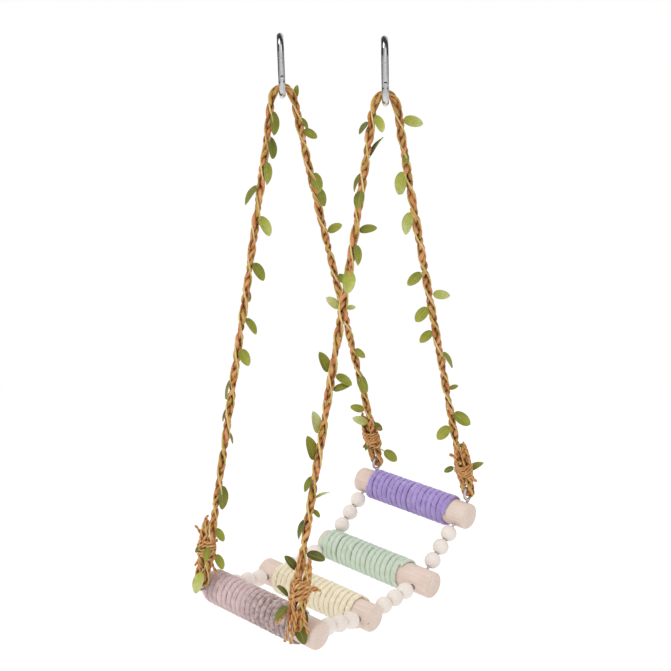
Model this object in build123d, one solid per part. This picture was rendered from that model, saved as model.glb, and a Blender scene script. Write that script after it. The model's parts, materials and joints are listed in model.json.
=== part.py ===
# Bird swing: a curved ladder of wrapped rungs, hung from two snap hooks by two leafy vine ropes.
# Millimetres. +Z is up, +X runs along the rungs, +Y runs from the front rung to the back rung.
# The origin lies midway between the hooks, at the centre of the bows that go over a cage bar.
import os
from math import asin, cos, degrees, pi, radians, sin, sqrt, tan

from build123d import *

# Snap hooks: bent round steel
hook_height = 40.0
hook_wire = 4.0
hook_seat_radius = 7.2      # centre line of the lower bow, which carries the vine
hook_bar_radius = 8.0       # centre line of the upper bow, which goes over the bar
hook_turns = {"left": -44.0, "right": -49.0}   # degrees from +X to the gate side of each hook

# Gate of a hook, hinged on a rivet and closed by a small coil spring
gate_diameter = 4.0
hinge_rise = 4.2            # rivet above the end of the lower bow
tongue_thickness = 1.6
tongue_reach = 1.8          # tongue past the rivet's centre
tongue_play = 0.25
rivet_diameter = 1.5
rivet_press = 0.02
rivet_running = 0.06
nose_drop = 1.4             # straight wire below the upper bow
lap_length = 2.4
lap_play = 0.3
spring_bore = 2.2
spring_end_wall = 1.8       # solid gate between the bore's end and the lap
spring_wire = 0.35
spring_play = 0.15
spring_pitch = 1.2

# Vine ropes: paper cord twisted round a core
vine_diameter = 5.4
arch_radius = 5.2
eye_bend_radius = 3.7
bend_run_share = 0.45       # longest tangent of a bend, as a share of its shorter run

# Vine routes, from the front tail through the front eye, over the hook and on to the back tail
vine_routes = {
    "left": [
        (-45.4, -82.0, -293.5), (-44.9, -89.2, -318.5), (-46.2, -93.1, -331.9), (-37.8, -93.1, -331.9),
        (-39.1, -89.2, -318.5), (-45.0, -3.1, -22.4), (-39.0, 3.1, -22.4), (-39.1, 81.3, -295.4),
        (-37.8, 85.1, -308.9), (-46.2, 85.1, -308.9), (-44.9, 81.3, -295.4), (-45.0, 74.2, -270.4),
    ],
    "right": [
        (45.0, -82.0, -293.5), (44.9, -89.2, -318.5), (46.2, -93.1, -331.9), (37.8, -93.1, -331.9),
        (39.1, -89.2, -318.5), (38.8, -2.8, -22.4), (45.2, 2.8, -22.4), (39.1, 81.3, -295.4),
        (37.8, 85.1, -308.9), (46.2, 85.1, -308.9), (44.9, 81.3, -295.4), (45.4, 74.2, -270.4),
    ],
}

# Ties: a thin strand wound round each vine and its tail
tie_strand = 1.8
tie_play = 0.2
tie_gap = 0.6
tie_turns = 4
tie_rise = 7.0

# Leaves: cut cloth on a short stem
leaf_length = 17.0
leaf_width = 8.0
leaf_thickness = 0.6
leaf_stem_length = 2.0
leaf_stem_width = 1.0
leaf_play = 0.55

# Ladder: dowels on two bent side wires, kept apart by beads
dowel_length = 100.0
dowel_diameter = 18.0
dowel_round = 1.4
wire_inset = 8.0            # side wires in from the ends of the dowels
ladder_drop = 340.1         # front dowel below the hooks' upper bows
ladder_front = 79.8         # front dowel ahead of the hooks
gap_slopes = (-15.5, 1.0, 36.0)   # degrees, front to back
rung_names = ("pink", "cream", "mint", "purple")
rung_shifts = {"pink": 1.0, "cream": -2.0, "mint": 3.0, "purple": 0.0}
beads_per_gap = 3
bead_diameter = 11.0
bead_play = 0.3             # between two beads, and round the wire
wire_diameter = 2.0
wire_play = 0.4
wire_bend_radius = 20.0
eye_radius = 4.5
eye_clearance = 0.5
eye_arc = 315.0             # degrees

# Wraps: soft cotton cord, pressed flat by its own winding
wrap_cord_width = 4.2
wrap_cord_thickness = 1.9
wrap_seat = 0.15
wrap_gap = 0.5
turn_share = 0.02           # a winding counts a turn that lacks less than this
wrap_left_gaps = {"pink": 3.8, "cream": 7.0, "mint": 3.8, "purple": 5.2}     # left wire to the first turn
wrap_right_gaps = {"pink": 5.0, "cream": 5.2, "mint": 11.4, "purple": 6.2}  # last turn to the right wire

# Points for the measured gap of a winding
gap_steps_per_turn = 24

# Leaves of each leg of vine: share of the leg from the hook, then turn, lean and roll in degrees,
# then share of the full leaf size
leaf_shares = {
    ("left", "front"): (
        (0.045, 35, 74, -32, 1.0), (0.095, 30, 77, -24, 0.95), (0.15, 35, 75, -38, 0.95),
        (0.205, 220, 60, 38, 0.95), (0.258, 40, 58, -52, 0.92), (0.355, 40, 50, -60, 0.85),
        (0.42, 100, 60, -30, 0.6), (0.475, 40, 45, -38, 0.8), (0.535, 10, 50, -55, 0.82),
        (0.585, 215, 74, 20, 0.9), (0.66, 205, 74, 15, 0.7), (0.7, 60, 70, -20, 0.55),
        (0.82, 30, 76, -30, 1.05), (0.915, 35, 52, -50, 0.65),
    ),
    ("left", "back"): (
        (0.03, 60, -74, -40, 0.5), (0.07, 45, 74, -30, 0.55), (0.105, 30, 42, -56, 0.66),
        (0.195, 20, 78, -38, 1.0), (0.25, 45, 76, -40, 0.95), (0.36, 40, -16, -52, 0.72),
        (0.46, 5, 24, -64, 0.75), (0.565, 45, 10, -40, 0.45), (0.575, 220, -56, 58, 0.78),
        (0.68, 15, 48, -54, 0.62), (0.765, -20, 74, -44, 0.95), (0.878, 222, -28, 58, 0.7),
        (0.918, 225, -36, 56, 0.76), (0.915, 35, 52, -46, 0.6),
    ),
    ("right", "front"): (
        (0.036, 30, 60, -52, 0.72), (0.05, 220, 58, 45, 0.58), (0.118, 25, -72, -40, 0.85),
        (0.15, 215, 72, 30, 0.75), (0.178, -60, 74, 0, 0.75), (0.262, 38, -22, -60, 0.7),
        (0.285, 20, 68, -30, 0.8), (0.335, -40, 74, 0, 0.95), (0.525, 222, -54, 55, 0.88),
        (0.53, 38, 20, -50, 0.74), (0.582, 38, -32, -44, 0.72), (0.648, 218, -64, 48, 0.92),
        (0.702, 222, -68, 50, 1.0), (0.735, 250, 72, 15, 0.7), (0.79, 40, -40, -15, 0.6),
        (0.8, 30, 40, -40, 0.4), (0.82, 218, 74, 30, 0.85), (0.895, 10, 28, -60, 0.78),
        (0.925, 222, -44, 45, 0.72),
    ),
    ("right", "back"): (
        (0.055, 40, 26, -62, 0.78), (0.12, -40, 74, 0, 0.48), (0.175, 220, 64, 48, 1.05),
        (0.272, 222, 68, 48, 1.0), (0.415, 230, 32, 58, 0.78), (0.47, 38, 14, -56, 0.74),
        (0.51, 222, 42, 60, 0.88), (0.565, 222, 36, 55, 0.74), (0.64, 40, 64, -10, 0.9),
        (0.735, 40, -16, -40, 0.42), (0.8, 38, 52, -50, 0.96), (0.843, 222, 42, 58, 0.92),
        (0.9, 60, 44, -40, 0.55),
    ),
}

# Sizes worked out from those above
dowel_radius = dowel_diameter / 2
bead_radius = bead_diameter / 2
wire_radius = wire_diameter / 2
vine_radius = vine_diameter / 2
hook_radius = hook_wire / 2
gate_radius = gate_diameter / 2
bead_seat = wrap_seat + wrap_cord_thickness + wrap_seat
rung_pitch = 2 * (dowel_radius + bead_seat) + beads_per_gap * bead_diameter + (beads_per_gap - 1) * bead_play
wrap_pitch = wrap_cord_width + wrap_gap
side_reach = dowel_length / 2 - wire_inset
sides = {"left": -side_reach, "right": side_reach}
bow_distance = hook_height - hook_wire - hook_seat_radius - hook_bar_radius
bow_slant = degrees(asin((hook_bar_radius - hook_seat_radius) / bow_distance))
through_all = 4 * dowel_diameter
overrun = hook_wire


def save(node, shape):
    export_step(shape, f"parts/{node}.step")


def tube(path, radius):
    return sweep(Plane(path.position_at(0), z_dir=path.tangent_at(0)) * Circle(radius), path=path)


# Windings: one unbroken line of biarcs, two to a half turn, with a straight run at each end
def biarc(start, start_way, end, end_way):
    span = end - start
    along = span.dot(start_way + end_way)
    spread = 2 * (1 - start_way.dot(end_way))
    reach = (sqrt(along**2 + spread * span.dot(span)) - along) / spread
    near = start + start_way * reach
    far = end - end_way * reach
    middle = (near + far) / 2
    return [TangentArc(start, middle, tangent=start_way), TangentArc(middle, end, tangent=far - near)]


def winding_line(radius, pitch, turns, end_run):
    marks = [radians(180 * half) for half in range(2 * turns + 1)]
    points = [Vector(radius * cos(mark), radius * sin(mark), pitch * mark / (2 * pi)) for mark in marks]
    ways = [Vector(-radius * sin(mark), radius * cos(mark), pitch / (2 * pi)).normalized() for mark in marks]
    edges = [Line(points[0] - ways[0] * end_run, points[0])]
    for half in range(2 * turns):
        edges += biarc(points[half], ways[half], points[half + 1], ways[half + 1])
    edges.append(Line(points[-1], points[-1] + ways[-1] * end_run))
    return Wire(edges)


def least_gap(name, line, turns, width):
    steps = gap_steps_per_turn * turns
    points = [line.position_at(step / steps) for step in range(steps + 1)]
    apart = gap_steps_per_turn // 2
    nearest = min(
        (points[later] - points[earlier]).length
        for earlier in range(steps + 1)
        for later in range(earlier + apart, steps + 1)
    )
    print(f"{name}: {turns} turns, least gap to itself {nearest - width:.2f} mm")


# Hook, drawn in its own plane: x towards the gate, y up, the upper bow's centre at the origin
gate_out = Vector(cos(radians(bow_slant)), -sin(radians(bow_slant)))
gate_up = Vector(sin(radians(bow_slant)), cos(radians(bow_slant)))
spine_up = Vector(-gate_up.X, gate_up.Y)
gate_run = bow_distance * cos(radians(bow_slant))
lower_end = Vector(0, -bow_distance) + gate_out * hook_seat_radius
upper_end = gate_out * hook_bar_radius
hinge = lower_end + gate_up * hinge_rise
nose = upper_end - gate_up * nose_drop
gate_frame = Plane(hinge, x_dir=gate_out, z_dir=(0, 0, 1))
nose_height = gate_run - hinge_rise - nose_drop
slot_width = tongue_thickness + 2 * tongue_play
gate_shoulder = nose_height - lap_play - lap_length
bore_start = tongue_reach + tongue_play
bore_end = gate_shoulder - spring_end_wall


def hook_place(side):
    way = Vector(cos(radians(hook_turns[side])), sin(radians(hook_turns[side])))
    return Plane((sides[side], 0, 0), x_dir=way, z_dir=way.cross(Vector(0, 0, 1)))


def round_bar(low, high, radius):
    return gate_frame * Pos(0, low, 0) * Rot(-90, 0, 0) * Cylinder(
        radius, high - low, align=(Align.CENTER, Align.CENTER, Align.MIN)
    )


def across(low, high, inner, outer, thickness):
    return gate_frame * Pos((inner + outer) / 2, (low + high) / 2, 0) * Box(outer - inner, high - low, thickness)


def hook_body():
    lower = JernArc(lower_end, -gate_up, hook_seat_radius, -(180 - 2 * bow_slant))
    spine = Line(lower @ 1, lower @ 1 + spine_up * gate_run)
    upper = JernArc(spine @ 1, spine_up, hook_bar_radius, -(180 + 2 * bow_slant))
    bows = [Line(hinge, lower_end), lower, spine, upper, Line(upper @ 1, nose)]
    body = tube(Wire(bows), hook_radius)
    tongue_side = hook_radius - tongue_thickness / 2
    for face in (-1, 1):
        cheek = Pos(0, 0, face * (tongue_thickness + tongue_side) / 2)
        body -= cheek * across(-gate_radius - tongue_play, overrun, -overrun, overrun, tongue_side)
    tip = gate_frame * Cylinder(tongue_reach, tongue_thickness)
    body += tip
    body -= gate_frame * Cylinder(rivet_diameter / 2 + rivet_press, overrun)
    lap = round_bar(nose_height - lap_length, nose_height, hook_radius)
    return body + lap - across(nose_height - overrun, nose_height, -overrun, lap_play / 2, overrun * 2)


def hook_gate():
    low = -gate_radius
    high = nose_height - lap_play
    gate = round_bar(0, high, gate_radius)
    gate += gate_frame * Cylinder(gate_radius, gate_diameter) & round_bar(low, high, gate_radius)
    gate -= across(low - overrun, bore_start, -overrun, overrun, slot_width)
    gate -= gate_frame * Cylinder(rivet_diameter / 2 + rivet_running, overrun * 2)
    gate -= round_bar(0, bore_end, spring_bore / 2)
    return gate - across(gate_shoulder, high + overrun, -lap_play / 2, overrun, overrun * 2)


def gate_rivet():
    return gate_frame * Cylinder(rivet_diameter / 2, gate_diameter)


def gate_spring():
    coil_radius = spring_bore / 2 - spring_play - spring_wire / 2
    low = bore_start + spring_play + spring_wire
    height = bore_end - spring_play - spring_wire - low
    turns = max(1, int(height / spring_pitch))
    line = winding_line(coil_radius, height / turns, turns, spring_wire)
    least_gap("gate spring", line, turns, spring_wire)
    return gate_frame * Pos(0, low, 0) * Rot(-90, 0, 0) * tube(line, spring_wire / 2)


# Ladder: rung centres and gap directions in the side plane, front to back
gap_ways = [Vector(0, cos(radians(slope)), sin(radians(slope))) for slope in gap_slopes]
rung_places = [Vector(0, -ladder_front, -ladder_drop)]
for way in gap_ways:
    rung_places.append(rung_places[-1] + way * rung_pitch)
side_frame = Plane((0, 0, 0), x_dir=(0, 1, 0), z_dir=(1, 0, 0))


def in_side_plane(place):
    return Vector(place.Y, place.Z)


def side_wire():
    neck = dowel_radius + eye_clearance + wire_radius + eye_radius
    front = in_side_plane(rung_places[0] - gap_ways[0] * neck)
    back = in_side_plane(rung_places[-1] + gap_ways[-1] * neck)
    corners = [in_side_plane(place) for place in rung_places[1:-1]]
    run = FilletPolyline(front, *corners, back, radius=wire_bend_radius)
    front_eye = JernArc(front, -in_side_plane(gap_ways[0]), eye_radius, -eye_arc)
    back_eye = JernArc(back, in_side_plane(gap_ways[-1]), eye_radius, eye_arc)
    line = Wire([front_eye, *run.edges(), back_eye])
    wire = tube(line, wire_radius)
    print(f"side wire: length {line.length:.1f} mm, volume over section times length"
          f" {wire.volume / (pi * wire_radius**2 * line.length):.4f}")
    return side_frame * wire


def wire_bore(index):
    before = gap_slopes[max(index - 1, 0)]
    after = gap_slopes[min(index, len(gap_slopes) - 1)]
    half_turn = radians((after - before) / 2)
    middle = radians((after + before) / 2)
    near = wire_bend_radius * (1 / cos(half_turn) - 1)
    far = dowel_radius * sin(half_turn)
    radius = (far - near) / 2 + wire_radius + wire_play
    way = Vector(0, cos(middle), sin(middle))
    aside = Vector(0, -sin(middle), cos(middle)) * (far + near) / 2
    return Plane(rung_places[index] + aside, z_dir=way) * Cylinder(radius, through_all)


def dowel(index):
    shift = rung_shifts[rung_names[index]]
    rod = Plane(rung_places[index] + Vector(shift, 0, 0), z_dir=(1, 0, 0)) * Cylinder(dowel_radius, dowel_length)
    rod = fillet(rod.edges().filter_by(GeomType.CIRCLE), dowel_round)
    for reach in sides.values():
        rod -= Pos(reach, 0, 0) * wire_bore(index)
    return rod


def wrap(index):
    name = rung_names[index]
    start_reach = wrap_left_gaps[name] - side_reach
    whole_turns = (side_reach - wrap_right_gaps[name] - start_reach) / wrap_pitch
    turns = int(whole_turns + turn_share)
    radius = dowel_radius + wrap_seat + wrap_cord_thickness / 2
    line = winding_line(radius, wrap_pitch, turns, wrap_cord_width)
    axis = Edge.make_line((0, 0, 0), (0, 0, wrap_pitch * turns))
    least_gap(f"wrap {name}", line, turns, wrap_cord_width)
    first = wrap_cord_width / line.length
    start = Plane(line.position_at(first), x_dir=(0, 0, 1), z_dir=line.tangent_at(first))
    cord = sweep(start * Ellipse(wrap_cord_width / 2, wrap_cord_thickness / 2), path=line, binormal=axis)
    section = pi * wrap_cord_width * wrap_cord_thickness / 4
    print(f"wrap {name}: volume over section times length {cord.volume / (section * line.length):.4f}")
    return Plane(rung_places[index] + Vector(start_reach, 0, 0), x_dir=(0, 1, 0), z_dir=(1, 0, 0)) * cord


def bead(gap, order):
    along = dowel_radius + bead_seat + bead_radius + order * (bead_diameter + bead_play)
    place = rung_places[gap] + gap_ways[gap] * along
    ball = Sphere(bead_radius) - Cylinder(wire_radius + bead_play, bead_diameter)
    return Plane(place, z_dir=gap_ways[gap]) * ball


# Vines: straight runs and tangent arcs along each route
def vine_radii(points):
    tight = {2: eye_bend_radius, 3: eye_bend_radius, 5: arch_radius, 6: arch_radius}
    tight |= {len(points) - 1 - corner: radius for corner, radius in tight.items()}
    radii = []
    for corner in range(1, len(points) - 1):
        before = points[corner] - points[corner - 1]
        after = points[corner + 1] - points[corner]
        half_turn = radians(before.get_angle(after) / 2)
        loose = bend_run_share * min(before.length, after.length) / tan(half_turn)
        radii.append(tight.get(corner, loose))
    return radii


def vine(side):
    points = [Vector(*point) for point in vine_routes[side]]
    radii = vine_radii(points)
    line = Wire(FilletPolyline(*points, radius=radii).edges())
    rope = tube(line, vine_radius)
    print(f"vine {side}: length {line.length:.1f} mm, radii", [round(radius, 1) for radius in radii])
    print(f"vine {side}: volume over section times length"
          f" {rope.volume / (pi * vine_radius**2 * line.length):.4f}")
    return rope


def leg_points(side, end):
    points = [Vector(*point) for point in vine_routes[side]]
    if end == "back":
        points.reverse()
    tail_tip, tail_low, leg_low, leg_top = points[0], points[1], points[4], points[5]
    return tail_tip, tail_low, leg_low, leg_top


def vine_tie(side, end):
    tail_tip, tail_low, leg_low, leg_top = leg_points(side, end)
    half_spacing = (leg_low - tail_low).length / 2
    radius = half_spacing + vine_radius + tie_play + tie_strand / 2
    line = winding_line(radius, tie_strand + tie_gap, tie_turns, tie_strand)
    least_gap(f"tie {side} {end}", line, tie_turns, tie_strand)
    upward = (leg_top - leg_low).normalized()
    place = (leg_low + tail_low) / 2 + upward * tie_rise
    return Plane(place, x_dir=leg_low - tail_low, z_dir=upward) * tube(line, tie_strand / 2)


def leaf(size_share):
    length = leaf_length * size_share
    half_width = leaf_width * size_share / 2
    half_stem = leaf_stem_width / 2
    middle = (leaf_stem_length + length) / 2
    edge = Curve() + [
        Line((0, -half_stem), (leaf_stem_length, -half_stem)),
        ThreePointArc((leaf_stem_length, -half_stem), (middle, -half_width), (length, 0)),
        ThreePointArc((length, 0), (middle, half_width), (leaf_stem_length, half_stem)),
        Line((leaf_stem_length, half_stem), (0, half_stem)),
        Line((0, half_stem), (0, -half_stem)),
    ]
    return extrude(make_face(edge), leaf_thickness / 2, both=True)


def leaves(side, end):
    tail_tip, tail_low, leg_low, leg_top = leg_points(side, end)
    down = (leg_low - leg_top).normalized()
    blades = []
    for share, turn, lean, roll, size_share in leaf_shares[(side, end)]:
        level = Vector(cos(radians(turn)), sin(radians(turn)))
        out = (level - down * level.dot(down)).normalized()
        across_way = down.cross(out)
        way = out * cos(radians(lean)) + down * sin(radians(lean))
        face = way.cross(across_way) * cos(radians(roll)) + across_way * sin(radians(roll))
        base = leg_top + (leg_low - leg_top) * share + out * (vine_radius + leaf_play)
        blades.append(Plane(base, x_dir=way, z_dir=face) * leaf(size_share))
    return Compound(children=blades)


def main():
    os.makedirs("parts", exist_ok=True)
    body, gate, rivet, spring = hook_body(), hook_gate(), gate_rivet(), gate_spring()
    for side, reach in sides.items():
        place = hook_place(side)
        save(f"hook_body_{side}", place * body)
        save(f"hook_gate_{side}", place * gate)
        save(f"gate_rivet_{side}", place * rivet)
        save(f"gate_spring_{side}", place * spring)
        save(f"vine_{side}", vine(side))
        for end in ("front", "back"):
            save(f"vine_tie_{side}_{end}", vine_tie(side, end))
            save(f"leaves_{side}_{end}", leaves(side, end))
        save(f"side_wire_{side}", Pos(reach, 0, 0) * side_wire())
        for gap in range(len(gap_ways)):
            for order in range(beads_per_gap):
                number = gap * beads_per_gap + order + 1
                save(f"bead_{side}_{number}", Pos(reach, 0, 0) * bead(gap, order))
    for index, name in enumerate(rung_names):
        save(f"dowel_{name}", dowel(index))
        save(f"wrap_{name}", wrap(index))


main()
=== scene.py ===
import json
import bpy
import numpy as np
from math import cos, pi, radians, sin
from mathutils import Matrix, Vector


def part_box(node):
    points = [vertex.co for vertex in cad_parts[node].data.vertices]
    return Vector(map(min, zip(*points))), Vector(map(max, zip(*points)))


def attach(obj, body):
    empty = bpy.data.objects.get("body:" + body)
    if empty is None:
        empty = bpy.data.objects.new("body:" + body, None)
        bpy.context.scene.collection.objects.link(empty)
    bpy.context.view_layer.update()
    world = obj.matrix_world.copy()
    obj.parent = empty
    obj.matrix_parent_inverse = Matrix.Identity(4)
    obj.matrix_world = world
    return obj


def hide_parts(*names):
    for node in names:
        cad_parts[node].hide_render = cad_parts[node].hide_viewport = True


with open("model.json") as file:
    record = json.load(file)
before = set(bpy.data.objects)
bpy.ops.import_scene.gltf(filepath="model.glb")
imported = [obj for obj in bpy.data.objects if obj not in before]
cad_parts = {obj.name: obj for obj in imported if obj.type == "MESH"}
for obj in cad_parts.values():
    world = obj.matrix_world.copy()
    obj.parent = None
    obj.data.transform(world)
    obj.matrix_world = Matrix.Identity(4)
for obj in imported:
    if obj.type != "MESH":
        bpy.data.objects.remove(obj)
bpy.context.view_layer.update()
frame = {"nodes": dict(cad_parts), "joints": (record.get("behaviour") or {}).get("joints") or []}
mm = 0.001
sides = ("left", "right")
ends = ("front", "back")
scene = bpy.context.scene
scene.view_settings.view_transform = "Standard"
print("frame loaded:", len(frame["nodes"]), "nodes")


# small helpers

def hexColour(code):
    parts = [int(code[i:i + 2], 16) / 255 for i in (1, 3, 5)]
    return (*[c / 12.92 if c <= 0.04045 else ((c + 0.055) / 1.055) ** 2.4 for c in parts], 1.0)


white = hexColour("#FFFFFF")


def addNode(tree, kind, settings={}, links={}):
    node = tree.nodes.new(kind)
    for key, value in settings.items():
        setattr(node, key, value)
    for key, value in links.items():
        if isinstance(value, bpy.types.NodeSocket):
            tree.links.new(value, node.inputs[key])
        else:
            node.inputs[key].default_value = value
    return node


def addObject(name, mesh):
    piece = bpy.data.objects.new(name, mesh)
    scene.collection.objects.link(piece)
    return piece


def newMesh(name, points, edges, faces):
    mesh = bpy.data.meshes.new(name)
    mesh.from_pydata([tuple(p) for p in points], edges, faces)
    return mesh


def pathMesh(lines):
    points, edges = [], []
    for line in lines:
        edges += [(len(points) + i, len(points) + i + 1) for i in range(len(line) - 1)]
        points.extend(line)
    return newMesh("path", points, edges, [])


def setField(mesh, name, kind, values):
    field = mesh.attributes.new(name, kind, "POINT").data
    field.foreach_set("vector" if kind == "FLOAT_VECTOR" else "value", values)


def joinPieces(name, pieces):
    first = pieces[0]
    with bpy.context.temp_override(active_object=first, object=first,
                                   selected_objects=pieces, selected_editable_objects=pieces):
        bpy.ops.object.join()
    first.name = name
    first.data.name = name
    return first


# short forms of the nodes that come up again and again

def made(tree, kind, settings={}, links={}):
    return addNode(tree, kind, settings, links).outputs[0]


def maths(tree, operation, *values):
    return made(tree, "ShaderNodeMath", {"operation": operation}, dict(enumerate(values)))


def vectorMaths(tree, operation, *values):
    node = addNode(tree, "ShaderNodeVectorMath", {"operation": operation}, dict(enumerate(values)))
    return node.outputs["Value" if operation in ("DOT_PRODUCT", "DISTANCE", "LENGTH") else "Vector"]


def scaled(tree, vector, size):
    return made(tree, "ShaderNodeVectorMath", {"operation": "SCALE"}, {0: vector, "Scale": size})


def threeOf(tree, x, y=0.0, z=0.0):
    return made(tree, "ShaderNodeCombineXYZ", {}, {"X": x, "Y": y, "Z": z})


def remap(tree, value, low, high, toLow=0.0, toHigh=1.0, ease="LINEAR"):
    links = {"Value": value, "From Min": low, "From Max": high, "To Min": toLow, "To Max": toHigh}
    return made(tree, "ShaderNodeMapRange", {"interpolation_type": ease}, links)


def noise(tree, place, scale, detail, roughness=0.5):
    links = {"Vector": place, "Scale": scale, "Detail": detail, "Roughness": roughness}
    return addNode(tree, "ShaderNodeTexNoise", {}, links).outputs


def stretched(tree, place, scale):
    return made(tree, "ShaderNodeMapping", {}, {"Vector": place, "Scale": scale})


def mixValue(tree, share, first, second):
    return made(tree, "ShaderNodeMix", {}, {0: share, 2: first, 3: second})


def mixColour(tree, share, first, second, blend="MIX"):
    settings = {"data_type": "RGBA", "blend_type": blend}
    return addNode(tree, "ShaderNodeMix", settings, {0: share, 6: first, 7: second}).outputs[2]


def colourRamp(tree, value, stops):
    node = addNode(tree, "ShaderNodeValToRGB", {}, {0: value})
    elements = node.color_ramp.elements
    while len(elements) < len(stops):
        elements.new(0.5)
    for element, (place, code) in zip(elements, stops):
        element.position = place
        element.color = hexColour(code)
    return node.outputs["Color"]


def objectPlace(tree):
    return addNode(tree, "ShaderNodeTexCoord").outputs["Object"]


def attribute(tree, name):
    return addNode(tree, "ShaderNodeAttribute", {"attribute_name": name}).outputs["Fac"]


def startMaterial(name, finish):
    material = bpy.data.materials.new(name)
    material.use_nodes = True
    shader = material.node_tree.nodes["Principled BSDF"]
    for key, value in finish.items():
        shader.inputs[key].default_value = value
    return material, material.node_tree, shader


def endMaterial(tree, shader, colour, height, bump):
    strength, deep = bump   # depth in mm
    links = {"Strength": strength, "Distance": deep * mm, "Height": height}
    tree.links.new(made(tree, "ShaderNodeBump", {}, links), shader.inputs["Normal"])
    tree.links.new(colour, shader.inputs["Base Color"])


def newTree(name, counts, sizes):
    tree = bpy.data.node_groups.new(name, "GeometryNodeTree")
    kinds = {"Geometry": "Geometry", **dict.fromkeys(counts, "Int"), **dict.fromkeys(sizes, "Float")}
    for key, kind in {**kinds, "Material": "Material"}.items():
        tree.interface.new_socket(name=key, in_out="INPUT", socket_type="NodeSocket" + kind)
    tree.interface.new_socket(name="Geometry", in_out="OUTPUT", socket_type="NodeSocketGeometry")
    return tree, addNode(tree, "NodeGroupInput").outputs


def endTree(tree, geometry, material):
    real = made(tree, "GeometryNodeRealizeInstances", {}, {0: geometry})
    dressed = made(tree, "GeometryNodeSetMaterial", {}, {"Geometry": real, "Material": material})
    addNode(tree, "NodeGroupOutput", {}, {0: dressed})
    return tree


def store(tree, geometry, name, value, kind="FLOAT"):
    links = {"Geometry": geometry, "Name": name, "Value": value}
    return made(tree, "GeometryNodeStoreNamedAttribute", {"data_type": kind, "domain": "POINT"}, links)


def stored(tree, name, kind="FLOAT"):
    return made(tree, "GeometryNodeInputNamedAttribute", {"data_type": kind}, {"Name": name})


def growPiece(name, tree, baseMesh, sizes):
    holder = bpy.data.objects.new(name + "Base", baseMesh)
    modifier = holder.modifiers.new("grow", "NODES")
    modifier.node_group = tree
    sockets = {item.name: item.identifier for item in tree.interface.items_tree if item.in_out == "INPUT"}
    for key, value in sizes.items():
        modifier[sockets[key]] = value
    scene.collection.objects.link(holder)
    mesh = bpy.data.meshes.new_from_object(holder.evaluated_get(bpy.context.evaluated_depsgraph_get()))
    holder.modifiers.clear()
    bpy.data.objects.remove(holder)
    mesh.name = name
    return addObject(name, mesh)


# camera, as the photograph was taken

cameraSettings = {
    "place": (476.2, -519.4, 51.0),   # mm
    "yaw": 42.68, "pitch": -17.99, "roll": -1.68,   # degrees
    "focalPixels": 1152.0, "framePixels": 671.0,
    "sensorMm": 36.0, "clipStart": 0.01,
}


def makeCamera(s):
    yaw, pitch, roll = (radians(s[key]) for key in ("yaw", "pitch", "roll"))
    level = Vector((cos(yaw), sin(yaw), 0))
    ahead = Vector((-sin(yaw) * cos(pitch), cos(yaw) * cos(pitch), sin(pitch)))
    above = level.cross(ahead)
    right = level * cos(roll) + above * sin(roll)
    up = above * cos(roll) - level * sin(roll)
    data = bpy.data.cameras.new("camera")
    data.sensor_width = s["sensorMm"]
    data.lens = s["focalPixels"] * s["sensorMm"] / s["framePixels"]
    data.clip_start = s["clipStart"]
    camera = bpy.data.objects.new("camera", data)
    turn = Matrix((right, up, -ahead)).transposed()
    camera.matrix_world = Matrix.Translation(Vector(s["place"]) * mm) @ turn.to_4x4()
    scene.collection.objects.link(camera)
    scene.camera = camera


makeCamera(cameraSettings)


# studio: white world, a key lamp above, a fill lamp and a back lamp, a pale floor well below the rungs

studioSettings = {
    "worldLight": 0.80,
    "lamps": {   # place in m, size in m, watts
        "keyLamp": ((-0.35, -0.95, 1.15), 0.9, 10.0),
        "fillLamp": ((1.3, -0.5, 0.35), 1.2, 2.5),
        "backLamp": ((-0.4, 1.4, 0.6), 1.2, 3.0),
    },
    "aim": (0.0, 0.0, -0.2),
    # what bright metal mirrors: way of the studio's front, and the light from back to front
    "frontSide": (0.56, -0.81, 0.17),
    "mirrored": [(0.0, "#8A8A8A"), (0.3, "#4C4C4C"), (0.62, "#404040"), (0.8, "#7A7A7A"),
                 (0.93, "#FFFFFF"), (1.0, "#E4E4E4")],
    "floorDrop": 0.60, "floorSize": 8.0, "floorFade": (0.55, 1.2),   # m
    "floorGlow": 0.10, "floorColour": "#FDFDFD",
    "floorFinish": {"Roughness": 0.9, "Specular IOR Level": 0.0},
}


def makeWorld(s):
    world = bpy.data.worlds.new("whiteStudio")
    world.use_nodes = True
    scene.world = world
    tree = world.node_tree
    ray = addNode(tree, "ShaderNodeLightPath").outputs
    way = addNode(tree, "ShaderNodeTexCoord").outputs["Generated"]
    facing = remap(tree, vectorMaths(tree, "DOT_PRODUCT", way, s["frontSide"]), -1.0, 1.0)
    mirrored = colourRamp(tree, facing, s["mirrored"])
    level = mixValue(tree, ray["Is Glossy Ray"], s["worldLight"], mirrored)
    seen = maths(tree, "MAXIMUM", ray["Is Camera Ray"], ray["Is Transmission Ray"])
    background = tree.nodes["Background"].inputs
    background["Color"].default_value = white
    tree.links.new(mixValue(tree, seen, level, 1.0), background["Strength"])


def makeLamps(s):
    for name, (place, size, watts) in s["lamps"].items():
        data = bpy.data.lights.new(name, "AREA")
        data.size = size
        data.energy = watts
        lamp = bpy.data.objects.new(name, data)
        aim = Vector(s["aim"]) - Vector(place)
        turn = aim.to_track_quat("-Z", "Y").to_matrix().to_4x4()
        lamp.matrix_world = Matrix.Translation(place) @ turn
        scene.collection.objects.link(lamp)


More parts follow.
